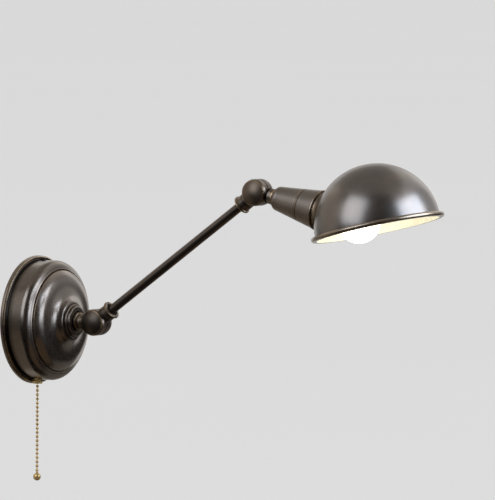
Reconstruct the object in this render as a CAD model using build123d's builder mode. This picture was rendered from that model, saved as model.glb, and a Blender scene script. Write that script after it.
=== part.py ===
"""Swivel wall lamp: a domed canopy, a two-knuckle arm, a socket cup and a dome shade.

Frame: millimetres, +Z up. The origin is the centre of the canopy's back, on the wall plane Y = 0,
and the lamp reaches out from the wall towards -Y. Both hinge axes lie along X.
"""

import os
from math import cos, radians, sin, sqrt

from build123d import *

# Rest pose
arm_rise = 35.82  # degrees of the arm above level
head_dip = 12.0  # degrees of the socket below level
shade_tip = 14.0  # degrees that the mouth of the shade turns out from the wall
arm_span = 239.35  # lower hinge axis to upper hinge axis

# Clearances
run_fit = 0.05  # radial, shaft in bore
thread_fit = 0.05  # radial, thread on thread
turn_gap = 0.4  # between curved faces that turn past each other
seat_play = 0.02  # axial, between faces that turn on each other
shell_play = 0.2  # radial, bulb base in the screw shell

# Canopy, a spun shell: heights grow from the wall, radii shrink towards the middle
canopy_r = 62.2
canopy_wall = 1.0
rim_flare = 4.3
rim_edge = 3.0
rim_ridge = 1.5
ridge_in = 1.6
cove_in = 2.1
cove_dip = 2.0
wall_foot = 3.4
wall_lean = 0.4
wall_height = 21.3
bead_in = 8.7
bead_rise = 3.9
groove_in = 0.7
groove_dip = 0.7
dome_edge_in = 0.9
dome_edge_rise = 1.9
dome_rise = 14.3
wall_round = 8.0
bead_round = 0.4
rim_round = 0.9

# Centre collar and its nut
collar_r = 17.3
collar_base = 2.3
collar_step_in = 1.7
collar_step = 3.1
collar_round = 1.1
collar_recess_r = 10.6
collar_recess = 1.6
collar_spigot_wall = 2.4
collar_spigot = 10.5
collar_nut_across = 24.0
collar_nut_thick = 4.0

# Turned neck between collar and lower knuckle
shaft_r = 7.0
neck_ring_r = 9.3
neck_ring = 4.4
neck_waist_r = 7.6
neck_waist = 2.2
neck_band_r = 8.4
neck_band = 2.4
neck_root = 2.0
neck_bore_r = 3.5
swivel_washer_thick = 1.2
swivel_nut_across = 19.0
swivel_nut_thick = 4.0

# Split knuckles, the same at both ends of the arm
knuckle_r = 13.7
knuckle_half = 8.6
knuckle_bevel = 2.0
half_gap = 0.4
edge_break = 0.35
counter_r = 9.4
counter_depth = 5.2
cap_r = 12.8
cap_edge = 0.9
cap_rise = 4.4
cap_spigot = 1.1
bolt_r = 3.0
bolt_head_r = 5.6
bolt_head = 3.2
hex_key = 4.0
hex_key_depth = 1.8
disc_washer_r = 9.0
spring_washer_r = 6.2
spring_washer_thick = 0.9
bolt_nut_across = 10.0
bolt_nut_thick = 2.6

# Arm tube and the cups that hold it
tube_r = 4.8
tube_wall = 0.9
cup_r = 8.5
cup_length = 10.2
lip_r = 9.8
lip_width = 2.6
lip_round = 0.6
recess_r = 7.0
recess_depth = 3.6
cup_bore = 5.5
jam_nut_r = 6.4
jam_nut_thick = 2.2

# Socket cup on the head knuckle: a rear cap and a front sleeve
head_neck_r = 8.0
head_neck = 6.5
head_lip_r = 8.8
head_lip = 2.0
head_groove_r = 7.4
head_groove = 1.0
stub_r = 5.0
stub_bore_r = 3.2
stub_length = 14.0
cup_wall = 1.1
cap_root_r = 9.8
cap_shoulder_out = 3.0
cap_shoulder = 5.2
cap_cone = 25.6
cone_out = 0.16  # gain in radius for each millimetre along the cone
seam = 0.6
seam_groove = 0.5
seam_groove_depth = 0.35
seam_band = 1.7
spigot_length = 4.6
sleeve_cone = 21.6
sleeve_lip = 1.2
sleeve_lip_out = 0.3
sleeve_flange = 1.4
cup_nut_across = 14.0
cup_nut_thick = 3.2

# Lampholder inside the cup
holder_hub_r = 8.2
holder_hub = 7.0
holder_clear = 0.6
holder_waist_end = 21.0
holder_shoulder_r = 16.0
holder_shoulder = 4.2
holder_barrel_r = 15.1
holder_barrel = 22.5
holder_floor = 3.0
holder_shell_wall = 0.45
contact_r = 4.2
contact_thick = 0.6
contact_rise = 1.2

# Shade: a spun dome with a drawn neck and a rolled rim
dome_r = 64.0
shade_wall = 1.0
liner_wall = 0.5
neck_r = 18.5
neck_straight = 1.3
flare_out = 5.6
flare_rise = 9.2
flare_sink = 0.8  # depth of the flare's tip under the face of the dome
neck_flange = 1.2
skirt = 2.9
rim_bead_r = 2.4
bead_bite = 0.3
ring_r = 17.1
ring_thick = 4.0
ring_notches = 6
ring_notch_w = 3.0
ring_notch_d = 0.8

# Globe bulb
bulb_r = 22.1
glass_wall = 0.9
bulb_base_r = 13.05
bulb_base = 18.0
base_thread = 0.7
base_turns = 5
base_skin = 0.5
bulb_neck_r = 11.8
bulb_neck = 2.4
tip_r = 4.6
tip_rise = 1.8
tip_cone = 2.4

# Wall bracket and the screw in the top of the canopy
bracket_width = 22.0
bracket_thick = 2.5
bracket_slot_width = 5.0
bracket_slot_length = 14.0
bracket_slot_reach = 41.5
bracket_hole_r = 9.0
ear_width = 15.0
ear_rise = 13.0
ear_clear = 0.6
ear_shift = 12.0
screw_height = 9.1
screw_r = 1.9
screw_head_r = 2.9
screw_head = 2.2
screw_slot = 0.8
screw_slot_depth = 0.9
ground_screw_x = 0.0
ground_screw_z = 22.0
ground_screw_r = 2.0
ground_head_r = 4.2
ground_head = 2.0

# Pull switch and its bell mouth
bell_x = -11.0
bell_gap = 0.2
bell_r = 5.3
bell_height = 3.4
bell_round = 0.9
bell_neck_r = 3.5
bell_bore_r = 2.05
bell_lip = 0.5
bell_tail = 1.2
bell_nut_across = 10.0
bell_nut_thick = 2.2
switch_width = 18.0
switch_depth = 17.0
switch_height = 26.0
switch_round = 2.0
switch_gap = 0.3
switch_boss_r = 5.4
switch_boss = 1.6
plunger_r = 3.1
plunger_thick = 3.0
pull_travel = 8.0

# Bead chain
bead_r = 1.6
bead_pitch = 4.35
chain_wire_r = 0.45
hanging_beads = 21
ball_r = 4.0
ball_neck = 1.4


def along(origin, direction):
    """Profile plane: local x is the radius, local y the distance from origin along direction."""
    return Plane(origin=origin, x_dir=(1, 0, 0), z_dir=Vector(1, 0, 0).cross(direction))


def across(origin, direction, distance):
    """Plane square to direction, at a distance from origin."""
    return Plane(origin=origin + direction * distance, x_dir=(1, 0, 0), z_dir=direction)


def hinge_side(pivot, side):
    """Profile plane of a knuckle half: local x is the radius, local y runs outwards along the hinge."""
    return Plane(origin=pivot, x_dir=(0, 0, 1), z_dir=(0, side, 0))


def turn(plane, axis, points, mode=Mode.ADD):
    """Revolve a closed outline of straight stretches about an axis, in the open part."""
    with BuildSketch(plane) as outline:
        with BuildLine():
            Polyline(*points, close=True)
        make_face()
    revolve(outline.sketch, axis=axis, mode=mode)


def hexagon_nut(plane, across_flats, thickness, bore_r):
    """A hexagon nut with broken corners, standing on a plane."""
    with BuildPart() as nut:
        with BuildSketch(plane):
            RegularPolygon(radius=across_flats / 2, side_count=6, major_radius=False)
            Circle(bore_r, mode=Mode.SUBTRACT)
        extrude(amount=thickness)
        corners = nut.edges().filter_by(GeomType.LINE).filter_by(Axis(plane.origin, plane.z_dir))
        chamfer(corners, edge_break)
    return nut.part


# Heights and radii of the canopy, worked out from the wall
out = Vector(0, -1, 0)
origin = Vector(0, 0, 0)
swivel_axis = Axis(origin, out)
rim_r = canopy_r + rim_flare
ridge_h = rim_edge + rim_ridge
cove_h = ridge_h - cove_dip
cove_r = rim_r - ridge_in - cove_in
foot_r = canopy_r - wall_lean
foot_h = cove_h + wall_foot
wall_h = foot_h + wall_height
bead_edge_r = canopy_r - bead_in
bead_h = wall_h + bead_rise
groove_r = bead_edge_r - groove_in
groove_h = bead_h - groove_dip
dome_edge_r = groove_r - dome_edge_in
dome_edge_h = groove_h + dome_edge_rise
land_r = collar_r + dome_edge_in
land_h = dome_edge_h + dome_rise
dome_span = dome_edge_r - land_r

# The ogee of the canopy dome: shares of its span and of its rise
ogee = [
    (0.065, 0.133),
    (0.145, 0.266),
    (0.25, 0.371),
    (0.38, 0.423),
    (0.51, 0.455),
    (0.675, 0.538),
    (0.785, 0.65),
    (0.855, 0.783),
    (0.9, 0.902),
    (0.935, 0.972),
]
skin = [(dome_edge_r - a * dome_span, dome_edge_h + b * dome_rise) for a, b in ogee]
lining = [(r - canopy_wall / 2, h - canopy_wall) for r, h in skin]

# Collar, neck and lower hinge
collar_bore_r = shaft_r + run_fit
collar_spigot_r = collar_bore_r + collar_spigot_wall
collar_face = land_h + collar_base + collar_step
collar_back = land_h - collar_spigot
neck_start = collar_face - collar_recess + seat_play
ring_end = neck_start + neck_ring
waist_end = ring_end + neck_waist
band_end = waist_end + neck_band
pivot_reach = band_end + neck_root + knuckle_r
washer_h = collar_back - seat_play
nut_h = washer_h - swivel_washer_thick
shaft_end = nut_h - swivel_nut_thick
lower_pivot = out * pivot_reach

# Arm, head and shade directions and places
arm_dir = Vector(0, -cos(radians(arm_rise)), sin(radians(arm_rise)))
head_dir = Vector(0, -cos(radians(head_dip)), -sin(radians(head_dip)))
shade_up = Vector(0, sin(radians(shade_tip)), cos(radians(shade_tip)))
upper_pivot = lower_pivot + arm_dir * arm_span
hinge_dir = Vector(1, 0, 0)
head_axis = Axis(upper_pivot, head_dir)

# Distances along the arm
cup_end = knuckle_r + cup_length
recess_floor = cup_end - recess_depth
tube_stop = recess_floor - cup_bore

# Distances along the head axis, from the upper hinge
head_lip_start = knuckle_r + head_neck
head_groove_start = head_lip_start + head_lip
cap_seat = head_groove_start + head_groove
cone_start = cap_seat + cap_shoulder
cone_start_r = cap_root_r + cap_shoulder_out
cap_end = cone_start + cap_cone
cap_end_r = cone_start_r + cone_out * cap_cone
sleeve_start = cap_end + seam
sleeve_start_r = cap_end_r + cone_out * seam
sleeve_end = sleeve_start + sleeve_cone
sleeve_end_r = sleeve_start_r + cone_out * sleeve_cone
stub_end = cap_seat + stub_length
holder_start = cap_seat + cup_wall + cup_nut_thick
shoulder_end = sleeve_end - sleeve_flange
barrel_end = shoulder_end + holder_barrel
holder_bore_r = bulb_base_r + shell_play + holder_shell_wall
contact_h = shoulder_end + holder_floor
neck_end = sleeve_end + neck_flange
flare_start = sleeve_end + neck_straight
flare_end = flare_start + flare_rise
shade_reach = flare_end - flare_sink + sqrt(dome_r**2 - (neck_r + flare_out) ** 2)
dome_centre = upper_pivot + head_dir * shade_reach
shade_axis = Axis(dome_centre, shade_up)
tip_h = contact_h + contact_thick + contact_rise
base_start = tip_h + tip_rise + tip_cone
base_end = base_start + bulb_base
glass_start = base_end - bulb_neck
bulb_h = base_end + bulb_neck + sqrt(bulb_r**2 - bulb_neck_r**2)

parts = {}

# Canopy shell with its flared rim, cove, round shoulder and ogee dome
screw_hole = Plane(origin=(0, -screw_height, 0), x_dir=(1, 0, 0), z_dir=(0, 0, 1))
bell_out = ridge_h + bell_gap + bell_r
bell_axis_point = Vector(bell_x, -bell_out, 0)
bell_hole = Plane(origin=bell_axis_point, x_dir=(1, 0, 0), z_dir=(0, 0, -1))
with BuildPart() as canopy:
    with BuildSketch(along(origin, out)) as outline:
        inner_corner = (canopy_r - canopy_wall, wall_h - canopy_wall / 2)
        with BuildLine():
            Polyline(
                (collar_spigot_r + thread_fit, land_h - canopy_wall),
                (collar_spigot_r + thread_fit, land_h),
                (land_r, land_h),
            )
            Spline((land_r, land_h), *reversed(skin), (dome_edge_r, dome_edge_h))
            Polyline(
                (dome_edge_r, dome_edge_h),
                (dome_edge_r, groove_h),
                (groove_r, groove_h),
                (bead_edge_r, bead_h),
                (canopy_r, wall_h),
                (foot_r, foot_h),
                (cove_r, cove_h),
                (rim_r - ridge_in, ridge_h),
                (rim_r, rim_edge),
                (rim_r, 0),
                (foot_r - canopy_wall, 0),
                inner_corner,
                (groove_r, groove_h - canopy_wall),
                (dome_edge_r - canopy_wall, groove_h - canopy_wall),
            )
            under_land = (land_r, land_h - canopy_wall)
            Spline((dome_edge_r - canopy_wall, groove_h - canopy_wall), *lining, under_land)
            Line(under_land, (collar_spigot_r + thread_fit, land_h - canopy_wall))
        make_face()
        for corner, size in (
            ((canopy_r, wall_h), wall_round),
            (inner_corner, wall_round - canopy_wall),
            ((bead_edge_r, bead_h), bead_round),
            ((rim_r, rim_edge), rim_round),
            ((rim_r - ridge_in, ridge_h), rim_round / 2),
            ((cove_r, cove_h), rim_round),
        ):
            fillet(outline.vertices().sort_by_distance(corner)[0], size)
    revolve(axis=swivel_axis)
    with BuildSketch(screw_hole):
        Circle(screw_r + run_fit)
    extrude(amount=rim_r, mode=Mode.SUBTRACT)
    with BuildSketch(bell_hole):
        Circle(bell_neck_r + run_fit)
    extrude(amount=rim_r, mode=Mode.SUBTRACT)
parts["canopy"] = canopy.part

# Stepped collar that bears the swivelling neck, with a threaded spigot through the canopy
with BuildPart() as collar:
    with BuildSketch(along(origin, out)) as outline:
        with BuildLine():
            Polyline(
                (collar_bore_r, collar_back),
                (collar_spigot_r, collar_back),
                (collar_spigot_r, land_h),
                (collar_r, land_h),
                (collar_r, land_h + collar_base),
                (collar_r - collar_step_in, land_h + collar_base),
                (collar_r - collar_step_in, collar_face),
                (collar_recess_r, collar_face),
                (collar_recess_r, collar_face - collar_recess),
                (collar_bore_r, collar_face - collar_recess),
                close=True,
            )
        make_face()
        for corner in ((collar_r, land_h + collar_base), (collar_r - collar_step_in, collar_face)):
            fillet(outline.vertices().sort_by_distance(corner)[0], collar_round)
    revolve(axis=swivel_axis)
parts["centre_collar"] = collar.part

collar_nut_plane = across(origin, out, land_h - canopy_wall - collar_nut_thick)
parts["collar_nut"] = hexagon_nut(
    collar_nut_plane, collar_nut_across, collar_nut_thick, collar_spigot_r + thread_fit
)


def knuckle(pivot, side):
    """Clear the room of the facing half and of the cap, then add this half's counterbored disc."""
    reach = neck_ring_r + lip_r + knuckle_half
    swept_r = knuckle_r + turn_gap
    core_r = (counter_r + knuckle_r) / 2
    floor = knuckle_half - counter_depth
    bore = bolt_r + run_fit
    hinge = Axis(pivot, hinge_dir)
    turn(
        hinge_side(pivot, side),
        hinge,
        [
            (0, -reach),
            (swept_r, -reach),
            (swept_r, half_gap),
            (core_r, half_gap),
            (core_r, knuckle_half),
            (swept_r, knuckle_half),
            (swept_r, reach),
            (0, reach),
        ],
        mode=Mode.SUBTRACT,
    )
    turn(
        hinge_side(pivot, side),
        hinge,
        [
            (bore, half_gap),
            (knuckle_r - edge_break, half_gap),
            (knuckle_r, half_gap + edge_break),
            (knuckle_r, knuckle_half - knuckle_bevel),
            (cap_r, knuckle_half),
            (counter_r, knuckle_half),
            (counter_r, floor),
            (bore, floor),
        ],
    )


# Neck that turns in the collar and carries the front half of the lower knuckle
with BuildPart() as wall_neck:
    turn(
        along(origin, out),
        swivel_axis,
        [
            (neck_bore_r, shaft_end),
            (shaft_r, shaft_end),
            (shaft_r, neck_start),
            (neck_ring_r - edge_break, neck_start),
            (neck_ring_r, neck_start + edge_break),
            (neck_ring_r, ring_end - edge_break),
            (neck_waist_r, ring_end + edge_break),
            (neck_waist_r, waist_end),
            (neck_band_r, waist_end + edge_break),
            (neck_band_r, band_end),
            (neck_waist_r, band_end + edge_break),
            (neck_waist_r, pivot_reach),
            (0, pivot_reach),
            (0, band_end),
            (neck_bore_r, band_end),
        ],
    )
    knuckle(lower_pivot, -1)
parts["wall_neck"] = wall_neck.part

with BuildPart() as swivel_washer:
    with BuildSketch(across(origin, out, nut_h)):
        Circle(collar_spigot_r)
        Circle(shaft_r + thread_fit, mode=Mode.SUBTRACT)
    extrude(amount=swivel_washer_thick)
parts["swivel_washer"] = swivel_washer.part

parts["swivel_nut"] = hexagon_nut(
    across(origin, out, shaft_end), swivel_nut_across, swivel_nut_thick, shaft_r + thread_fit
)


def knuckle_cap(pivot, side):
    """Domed cap with a spigot that closes the counterbore of one knuckle half."""
    base = knuckle_half
    with BuildPart() as cap:
        with BuildSketch(hinge_side(pivot, side)):
            with BuildLine():
                Polyline(
                    (0, base + cap_edge + cap_rise),
                    (0, base - cap_spigot),
                    (counter_r - run_fit, base - cap_spigot),
                    (counter_r - run_fit, base),
                    (cap_r - edge_break, base),
                    (cap_r, base + edge_break),
                    (cap_r, base + cap_edge),
                )
                crown = (cap_r**2 + cap_rise**2) / (2 * cap_rise)
                RadiusArc((cap_r, base + cap_edge), (0, base + cap_edge + cap_rise), -crown)
            make_face()
        revolve(axis=Axis(pivot, hinge_dir))
    return cap.part


def knuckle_bolt(pivot, side):
    """Socket-head pivot bolt whose head sits in the counterbore of one half."""
    floor = knuckle_half - counter_depth
    with BuildPart() as bolt:
        turn(
            hinge_side(pivot, side),
            Axis(pivot, hinge_dir),
            [
                (0, floor + bolt_head),
                (bolt_head_r - edge_break, floor + bolt_head),
                (bolt_head_r, floor + bolt_head - edge_break),
                (bolt_head_r, floor),
                (bolt_r, floor),
                (bolt_r, -floor - spring_washer_thick - bolt_nut_thick),
                (0, -floor - spring_washer_thick - bolt_nut_thick),
            ],
        )
        head_top = pivot + hinge_dir * side * (floor + bolt_head)
        with BuildSketch(Plane(origin=head_top, x_dir=(0, 1, 0), z_dir=(side, 0, 0))):
            RegularPolygon(radius=hex_key / 2, side_count=6, major_radius=False)
        extrude(amount=-hex_key_depth, mode=Mode.SUBTRACT)
    return bolt.part


def knuckle_washer(pivot, near, far, washer_r):
    """Flat ring on the pivot bolt, between two places along the hinge."""
    with BuildPart() as washer:
        with BuildSketch(Plane(origin=pivot + hinge_dir * near, x_dir=(0, 1, 0), z_dir=hinge_dir)):
            Circle(washer_r)
            Circle(bolt_r + thread_fit, mode=Mode.SUBTRACT)
        extrude(amount=far - near)
    return washer.part


# The same pivot hardware in both knuckles: bolt head in front, nut behind, friction disc between
nut_floor = knuckle_half - counter_depth
for place, pivot in (("lower", lower_pivot), ("upper", upper_pivot)):
    parts[f"{place}_front_cap"] = knuckle_cap(pivot, -1)
    parts[f"{place}_rear_cap"] = knuckle_cap(pivot, 1)
    parts[f"{place}_pivot_bolt"] = knuckle_bolt(pivot, -1)
    parts[f"{place}_friction_disc"] = knuckle_washer(pivot, -half_gap, half_gap - seat_play, disc_washer_r)
    parts[f"{place}_spring_washer"] = knuckle_washer(
        pivot, nut_floor + seat_play, nut_floor + spring_washer_thick, spring_washer_r
    )
    nut_plane = Plane(
        origin=pivot + hinge_dir * (nut_floor + spring_washer_thick), x_dir=(0, 1, 0), z_dir=hinge_dir
    )
    parts[f"{place}_pivot_nut"] = hexagon_nut(nut_plane, bolt_nut_across, bolt_nut_thick, bolt_r + thread_fit)


def arm_cup(pivot, direction, side):
    """Half knuckle with the lipped and recessed cup that takes one end of the arm tube."""
    axis = Axis(pivot, direction)
    with BuildPart() as cup:
        turn(
            along(pivot, direction),
            axis,
            [
                (0, 0),
                (cup_r, 0),
                (cup_r, cup_end - lip_width),
                (lip_r, cup_end - lip_width + lip_round),
                (lip_r, cup_end - lip_round),
                (lip_r - lip_round, cup_end),
                (recess_r, cup_end),
                (recess_r, recess_floor),
                (tube_r + thread_fit, recess_floor),
                (tube_r + thread_fit, tube_stop),
                (0, tube_stop),
            ],
        )
        knuckle(pivot, side)
    return cup.part


parts["lower_arm_cup"] = arm_cup(lower_pivot, arm_dir, 1)
parts["upper_arm_cup"] = arm_cup(upper_pivot, -arm_dir, -1)

# Arm tube between the two cups, with a jam nut in each recess
with BuildPart() as arm_tube:
    with BuildSketch(across(lower_pivot, arm_dir, tube_stop)):
        Circle(tube_r)
        Circle(tube_r - tube_wall, mode=Mode.SUBTRACT)
    extrude(amount=arm_span - 2 * tube_stop)
parts["arm_tube"] = arm_tube.part

for place, pivot, direction in (("lower", lower_pivot, arm_dir), ("upper", upper_pivot, -arm_dir)):
    with BuildPart() as jam_nut:
        with BuildSketch(across(pivot, direction, recess_floor)):
            Circle(jam_nut_r)
            Circle(tube_r + thread_fit, mode=Mode.SUBTRACT)
        extrude(amount=jam_nut_thick)
    parts[f"{place}_jam_nut"] = jam_nut.part

# Head neck on the rear half of the upper knuckle, ending in a threaded stub for the socket cup
with BuildPart() as head_neck_piece:
    turn(
        along(upper_pivot, head_dir),
        head_axis,
        [
            (0, 0),
            (head_neck_r, 0),
            (head_neck_r, head_lip_start - edge_break),
            (head_lip_r, head_lip_start + edge_break),
            (head_lip_r, head_groove_start - edge_break),
            (head_groove_r, head_groove_start),
            (head_groove_r, cap_seat),
            (stub_r, cap_seat),
            (stub_r, stub_end),
            (stub_bore_r, stub_end),
            (stub_bore_r, knuckle_r),
            (0, knuckle_r),
        ],
    )
    knuckle(upper_pivot, 1)
parts["head_neck"] = head_neck_piece.part

# Rear cap of the socket cup: round shoulder, cone and a spigot for the sleeve
with BuildPart() as socket_cap:
    with BuildSketch(along(upper_pivot, head_dir)):
        with BuildLine():
            spigot_r = cap_end_r - cup_wall
            spigot_end = cap_end + spigot_length
            Polyline(
                (stub_r + thread_fit, cap_seat + cup_wall),
                (stub_r + thread_fit, cap_seat),
                (cap_root_r, cap_seat),
            )
            EllipticalCenterArc(
                (cap_root_r, cone_start),
                cap_shoulder_out,
                cap_shoulder,
                start_angle=270,
                arc_size=90,
            )
            Polyline(
                (cone_start_r, cone_start),
                (cap_end_r, cap_end),
                (spigot_r, cap_end),
                (spigot_r, spigot_end),
                (spigot_r - cup_wall, spigot_end),
                (spigot_r - cup_wall, cap_end - cup_wall),
                (cone_start_r - cup_wall, cone_start),
                (cap_root_r, cap_seat + cup_wall),
                (stub_r + thread_fit, cap_seat + cup_wall),
            )
        make_face()
    revolve(axis=head_axis)
parts["socket_cap"] = socket_cap.part

# Front sleeve of the socket cup: cone with a fine groove, a lip and a flange that clamps the shade
with BuildPart() as socket_sleeve:
    groove_at = sleeve_start + seam_band
    groove_at_r = sleeve_start_r + cone_out * seam_band
    groove_to = groove_at + seam_groove
    turn(
        along(upper_pivot, head_dir),
        head_axis,
        [
            (spigot_r + run_fit, sleeve_start),
            (sleeve_start_r, sleeve_start),
            (groove_at_r, groove_at),
            (groove_at_r - seam_groove_depth, groove_at),
            (groove_at_r - seam_groove_depth, groove_to),
            (groove_at_r + cone_out * seam_groove, groove_to),
            (sleeve_end_r - cone_out * sleeve_lip, sleeve_end - sleeve_lip),
            (sleeve_end_r + sleeve_lip_out, sleeve_end - sleeve_lip),
            (sleeve_end_r + sleeve_lip_out, sleeve_end),
            (holder_barrel_r + thread_fit, sleeve_end),
            (holder_barrel_r + thread_fit, shoulder_end),
            (sleeve_end_r - cone_out * sleeve_flange - cup_wall, shoulder_end),
            (spigot_r + run_fit + cone_out * spigot_length, sleeve_start + spigot_length + cup_wall),
            (spigot_r + run_fit, sleeve_start + spigot_length),
        ],
    )
parts["socket_sleeve"] = socket_sleeve.part

parts["cup_nut"] = hexagon_nut(
    across(upper_pivot, head_dir, cap_seat + cup_wall), cup_nut_across, cup_nut_thick, stub_r + thread_fit
)

# Moulded lampholder: hub on the stub, shoulder behind the sleeve flange, barrel through the shade
with BuildPart() as lampholder:
    waist_h = holder_start + holder_hub
    holder_waist_r = cone_start_r - cup_wall + cone_out * (waist_h - cone_start) - holder_clear
    shoulder_start = shoulder_end - holder_shoulder
    turn(
        along(upper_pivot, head_dir),
        head_axis,
        [
            (stub_r + thread_fit, holder_start),
            (holder_hub_r, holder_start),
            (holder_hub_r, waist_h),
            (holder_waist_r, waist_h + holder_waist_r - holder_hub_r),
            (holder_waist_r, waist_h + holder_waist_end),
            (holder_shoulder_r, shoulder_start),
            (holder_shoulder_r, shoulder_end),
            (holder_barrel_r, shoulder_end),
            (holder_barrel_r, barrel_end),
            (holder_bore_r, barrel_end),
            (holder_bore_r, contact_h),
            (contact_r / 2, contact_h),
            (contact_r / 2, stub_end + cup_wall),
            (stub_r + thread_fit, stub_end + cup_wall),
        ],
    )
parts["lampholder"] = lampholder.part

# Brass screw shell and centre contact of the lampholder
with BuildPart() as screw_shell:
    with BuildSketch(across(upper_pivot, head_dir, contact_h)):
        Circle(holder_bore_r)
        Circle(holder_bore_r - holder_shell_wall, mode=Mode.SUBTRACT)
    extrude(amount=barrel_end - contact_h - cup_wall)
parts["screw_shell"] = screw_shell.part

with BuildPart() as centre_contact:
    turn(
        along(upper_pivot, head_dir),
        head_axis,
        [
            (0, contact_h),
            (contact_r + contact_rise, contact_h),
            (contact_r + contact_rise, contact_h + contact_thick),
            (contact_r, contact_h + contact_thick),
            (contact_r - contact_rise, tip_h),
            (0, tip_h),
        ],
    )
parts["centre_contact"] = centre_contact.part

# Shade: dome, drawn neck and rolled rim
shade_profile = Plane(origin=dome_centre, x_dir=(1, 0, 0), z_dir=Vector(1, 0, 0).cross(shade_up))


def dome_solid(radius, mode=Mode.ADD, bead_r=0):
    """Half ball with a straight skirt, and a bead round its foot where one is given, in the open part."""
    with BuildSketch(shade_profile) as quarter:
        with BuildLine():
            CenterArc((0, 0), radius, 0, 90)
            Polyline((0, radius), (0, -skirt), (radius, -skirt), (radius, 0))
        make_face()
        if bead_r:
            with Locations((radius + bead_r - bead_bite, bead_r - skirt)):
                Circle(bead_r)
    revolve(quarter.sketch, axis=shade_axis, mode=mode)


def neck_solid(radius, start, mode=Mode.ADD):
    """Core of the drawn neck: straight from start, then flared until it is inside the dome."""
    with BuildSketch(along(upper_pivot, head_dir)) as core:
        with BuildLine():
            flare_tip = (radius + flare_out, flare_end)
            core_end = flare_end + flare_sink + shade_wall
            TangentArc((radius, flare_start), flare_tip, tangent=(0, 1))
            Polyline(
                flare_tip,
                (radius + flare_out, core_end),
                (0, core_end),
                (0, start),
                (radius, start),
                (radius, flare_start),
            )
        make_face()
    revolve(core.sketch, axis=head_axis, mode=mode)


with BuildPart() as shade:
    dome_solid(dome_r, bead_r=rim_bead_r)
    neck_solid(neck_r, sleeve_end)
    dome_solid(dome_r - shade_wall, mode=Mode.SUBTRACT)
    neck_solid(neck_r - shade_wall, neck_end, mode=Mode.SUBTRACT)
    with BuildSketch(across(upper_pivot, head_dir, sleeve_end)):
        Circle(holder_barrel_r + thread_fit)
    extrude(amount=neck_flange, mode=Mode.SUBTRACT)
parts["shade"] = shade.part

# White enamelled liner that lines the dome
with BuildPart() as shade_liner:
    dome_solid(dome_r - shade_wall)
    dome_solid(dome_r - shade_wall - liner_wall, mode=Mode.SUBTRACT)
    with BuildSketch(across(upper_pivot, head_dir, cap_end)):
        Circle(neck_r + flare_out)
    extrude(amount=shade_reach - cap_end, mode=Mode.SUBTRACT)
parts["shade_liner"] = shade_liner.part

# Notched ring that screws on the barrel inside the shade
with BuildPart() as shade_ring:
    with BuildSketch(across(upper_pivot, head_dir, neck_end)):
        Circle(ring_r)
        Circle(holder_barrel_r + thread_fit, mode=Mode.SUBTRACT)
        with PolarLocations(ring_r, ring_notches):
            Rectangle(ring_notch_d * 2, ring_notch_w, mode=Mode.SUBTRACT)
    extrude(amount=ring_thick)
parts["shade_ring"] = shade_ring.part

# Bulb: opal globe, threaded base shell and tip contact
with BuildPart() as bulb_glass:
    with BuildSketch(along(upper_pivot, head_dir)):
        with BuildLine():
            shell_r = bulb_r - glass_wall
            throat = bulb_neck_r - glass_wall
            meet = (bulb_neck_r, base_end + bulb_neck)
            inner_meet = (throat, bulb_h - sqrt(shell_r**2 - throat**2))
            Polyline(inner_meet, (throat, glass_start), (bulb_neck_r, glass_start), meet)
            ThreePointArc(meet, (bulb_r, bulb_h), (0, bulb_h + bulb_r))
            Line((0, bulb_h + bulb_r), (0, bulb_h + shell_r))
            ThreePointArc((0, bulb_h + shell_r), (shell_r, bulb_h), inner_meet)
        make_face()
    revolve(axis=head_axis)
parts["bulb_glass"] = bulb_glass.part

with BuildPart() as bulb_base_piece:
    pitch = (bulb_base - base_thread) / base_turns
    root_r = bulb_base_r - base_thread
    thread = []
    for turn_index in range(base_turns):
        low = base_start + pitch * turn_index
        thread += [(root_r, low), (bulb_base_r, low + pitch / 2)]
    turn(
        along(upper_pivot, head_dir),
        head_axis,
        [(tip_r + base_skin, tip_h + tip_rise)]
        + thread
        + [
            (root_r, base_end - base_thread),
            (root_r, base_end),
            (bulb_neck_r + run_fit, base_end),
            (bulb_neck_r + run_fit, glass_start),
            (root_r - base_skin, glass_start - base_skin),
            (root_r - base_skin, base_start + base_skin),
            (tip_r, tip_h + tip_rise + base_skin),
        ],
    )
parts["bulb_base"] = bulb_base_piece.part

with BuildPart() as bulb_tip:
    turn(
        along(upper_pivot, head_dir),
        head_axis,
        [
            (0, tip_h),
            (tip_r - tip_rise, tip_h),
            (tip_r, tip_h + tip_rise),
            (tip_r, tip_h + tip_rise + base_skin),
            (0, tip_h + tip_rise + base_skin),
        ],
    )
parts["bulb_tip"] = bulb_tip.part

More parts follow.
